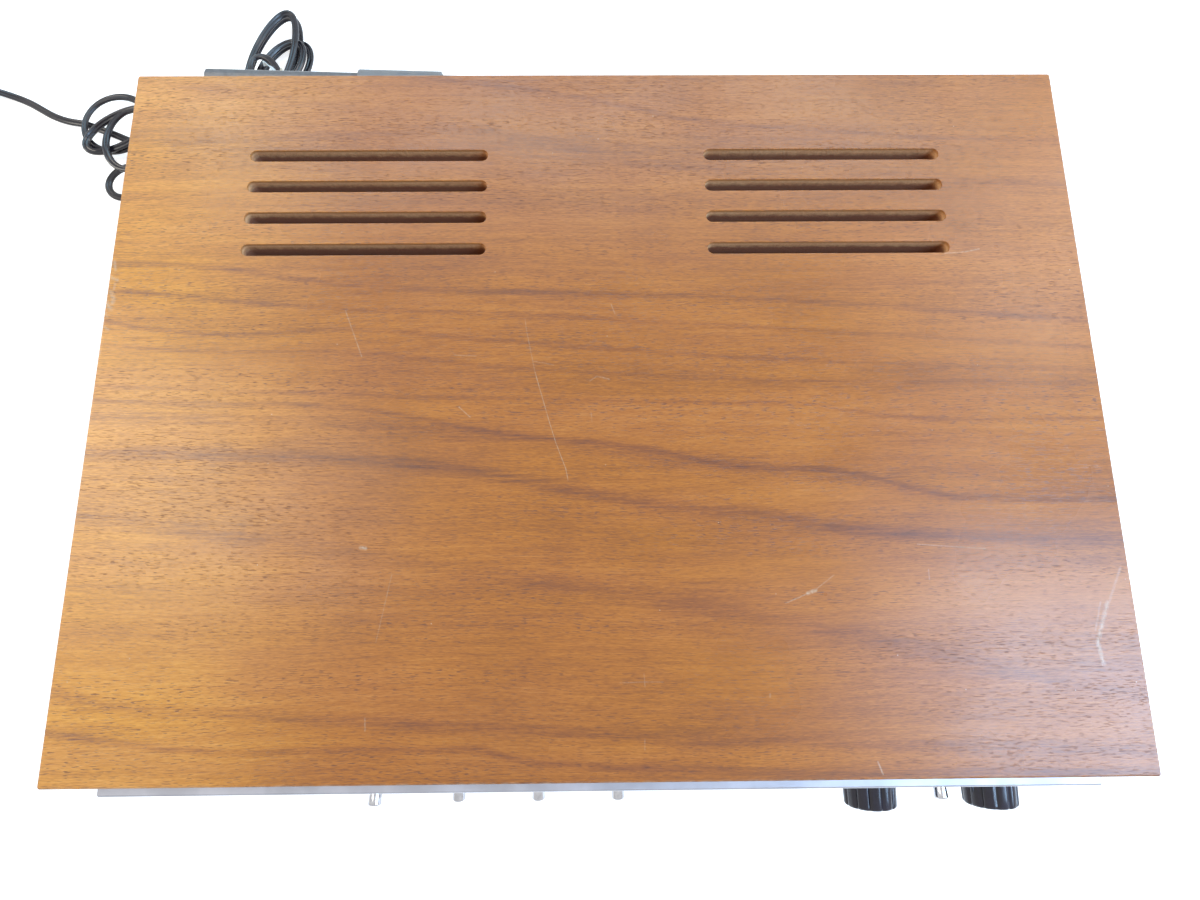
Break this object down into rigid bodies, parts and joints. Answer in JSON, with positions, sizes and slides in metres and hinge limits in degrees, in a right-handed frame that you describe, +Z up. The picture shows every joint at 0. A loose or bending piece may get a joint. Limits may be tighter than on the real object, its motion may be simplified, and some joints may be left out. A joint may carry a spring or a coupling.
{
  "type": "stereo receiver",
  "caption": "Stereo receiver in a wooden case with a slotted top, metal fascia, fluted knobs, bat levers, swing-out ferrite aerial and a mains lead.",
  "frame": {"origin": "on the table, under the middle of the box that the receiver fills without its lead", "axes": "+X to the right of someone who faces the fascia, +Y towards the rear panel, +Z up"},
  "size_m": [0.696, 0.5093, 0.146],
  "materials": {
    "walnut": "open pored oiled veneer",
    "rubber": "matte",
    "aluminium": "fine brushed",
    "dark_glass": "smoked",
    "black_matte": "matte",
    "red": "satin",
    "cream": "satin",
    "black_gloss": "gloss",
    "steel": "plated",
    "chrome": "polished",
    "brass": "turned",
    "black_iron": "varnished",
    "black_anodised": "black anodised",
    "phenolic": "matte",
    "ferrite": "ground",
    "cord_black": "satin",
    "paper": "matte"
  },
  "bodies": {
    "receiver": {"case_top": "walnut", "case_left_side": "walnut", "case_right_side": "walnut", "case_bottom": "walnut", "foot_front_left": "rubber", "foot_front_right": "rubber", "foot_rear_left": "rubber", "foot_rear_right": "rubber", "fascia": "aluminium", "capacitor_frame": "aluminium", "filter_capacitor_left": "aluminium", "filter_capacitor_right": "aluminium", "dial_glass": "dark_glass", "dial_plate": "black_matte", "phones_jack": "black_matte", "speaker_terminals": "black_matte", "ac_outlets": "black_matte", "antenna_terminals": "black_matte", "mains_gland": "black_matte", "mains_plug": "black_matte", "signal_meter": "cream", "bass_control": "steel", "treble_control": "steel", "speaker_switch": "steel", "balance_control": "steel", "volume_control": "steel", "selector_switch": "steel", "lever_switch_bank": "steel", "chassis": "steel", "rear_panel": "steel", "power_transformer": "black_iron", "heat_sink": "black_anodised", "main_board": "phenolic", "phono_jacks": "phenolic", "lead_near": "cord_black", "lead_hank": "cord_black", "lead_loops": "cord_black", "lead_far": "cord_black", "hank_tie": "paper"},
    "bass_dial": {"bass_knob": "black_gloss"},
    "treble_dial": {"treble_knob": "black_gloss"},
    "speaker_dial": {"speaker_knob": "black_gloss"},
    "balance_dial": {"balance_knob": "black_gloss"},
    "volume_dial": {"volume_knob": "black_gloss"},
    "selector_dial": {"selector_knob": "black_gloss"},
    "tuning_spindle": {"tuning_knob": "black_gloss", "tuning_shaft": "brass", "tuning_flywheel": "brass"},
    "tuning_drum": {"dial_drum": "cream", "capacitor_rotor": "aluminium"},
    "pointer": {"dial_pointer": "red"},
    "needle": {"meter_needle": "red"},
    "muting_toggle": {"muting_lever": "chrome"},
    "loudness_toggle": {"loudness_lever": "chrome"},
    "monitor_toggle": {"monitor_lever": "chrome"},
    "mode_toggle": {"mode_lever": "chrome"},
    "filter_toggle": {"filter_lever": "chrome"},
    "aerial": {"aerial_arm": "black_matte", "aerial_rod": "ferrite", "aerial_coil": "cream"}
  },
  "joints": [
    {"name": "bass_turn", "type": "hinge", "parent": "receiver", "child": "bass_dial", "pos_m": [0.127, -0.16387, 0.0825], "axis": [0, 1, 0], "range_deg": [-150, 150]},
    {"name": "treble_turn", "type": "hinge", "parent": "receiver", "child": "treble_dial", "pos_m": [0.1842, -0.16387, 0.0825], "axis": [0, 1, 0], "range_deg": [-150, 150]},
    {"name": "speaker_turn", "type": "hinge", "parent": "receiver", "child": "speaker_dial", "pos_m": [-0.168, -0.16387, 0.042], "axis": [0, 1, 0], "range_deg": [0, 90]},
    {"name": "balance_turn", "type": "hinge", "parent": "receiver", "child": "balance_dial", "pos_m": [-0.072, -0.16387, 0.042], "axis": [0, 1, 0], "range_deg": [-150, 150]},
    {"name": "volume_turn", "type": "hinge", "parent": "receiver", "child": "volume_dial", "pos_m": [-0.006, -0.16387, 0.042], "axis": [0, 1, 0], "range_deg": [-90, 210]},
    {"name": "selector_turn", "type": "hinge", "parent": "receiver", "child": "selector_dial", "pos_m": [0.064, -0.16387, 0.042], "axis": [0, 1, 0], "range_deg": [-60, 60]},
    {"name": "tuning_turn", "type": "hinge", "parent": "receiver", "child": "tuning_spindle", "pos_m": [0.15, -0.16387, 0.044], "axis": [0, 1, 0], "range_deg": [-1010, 1010]},
    {"name": "capacitor_turn", "type": "hinge", "parent": "receiver", "child": "tuning_drum", "pos_m": [0.09, -0.12767, 0.0775], "axis": [0, 1, 0], "range_deg": [-90, 90]},
    {"name": "pointer_travel", "type": "slide", "parent": "receiver", "child": "pointer", "axis": [1, 0, 0], "range_m": [-0.0706, 0.0706]},
    {"name": "needle_swing", "type": "hinge", "parent": "receiver", "child": "needle", "pos_m": [-0.16, -0.15327, 0.104], "axis": [0, 1, 0], "range_deg": [0, 76], "stiffness_Nm_per_rad": 0.0002, "springref_deg": -5.73},
    {"name": "muting_flip", "type": "hinge", "parent": "receiver", "child": "muting_toggle", "pos_m": [-0.1061, -0.15317, 0.0825], "axis": [1, 0, 0], "range_deg": [0, 16]},
    {"name": "loudness_flip", "type": "hinge", "parent": "receiver", "child": "loudness_toggle", "pos_m": [-0.0682, -0.15317, 0.0825], "axis": [1, 0, 0], "range_deg": [-16, 0]},
    {"name": "monitor_flip", "type": "hinge", "parent": "receiver", "child": "monitor_toggle", "pos_m": [-0.0303, -0.15317, 0.0825], "axis": [1, 0, 0], "range_deg": [-16, 0]},
    {"name": "mode_flip", "type": "hinge", "parent": "receiver", "child": "mode_toggle", "pos_m": [0.0076, -0.15317, 0.0825], "axis": [1, 0, 0], "range_deg": [-16, 0]},
    {"name": "filter_flip", "type": "hinge", "parent": "receiver", "child": "filter_toggle", "pos_m": [0.1593, -0.15317, 0.0825], "axis": [1, 0, 0], "range_deg": [0, 16]},
    {"name": "aerial_swing", "type": "hinge", "parent": "receiver", "child": "aerial", "pos_m": [-0.045, 0.17323, 0.122], "axis": [0, 0, -1], "range_deg": [-2, 80]}
  ],
  "couplings": [
    {"joint": "pointer_travel", "follows": "tuning_turn", "m_per_rad": 0.004},
    {"joint": "capacitor_turn", "follows": "tuning_turn", "ratio": 0.088889}
  ]
}
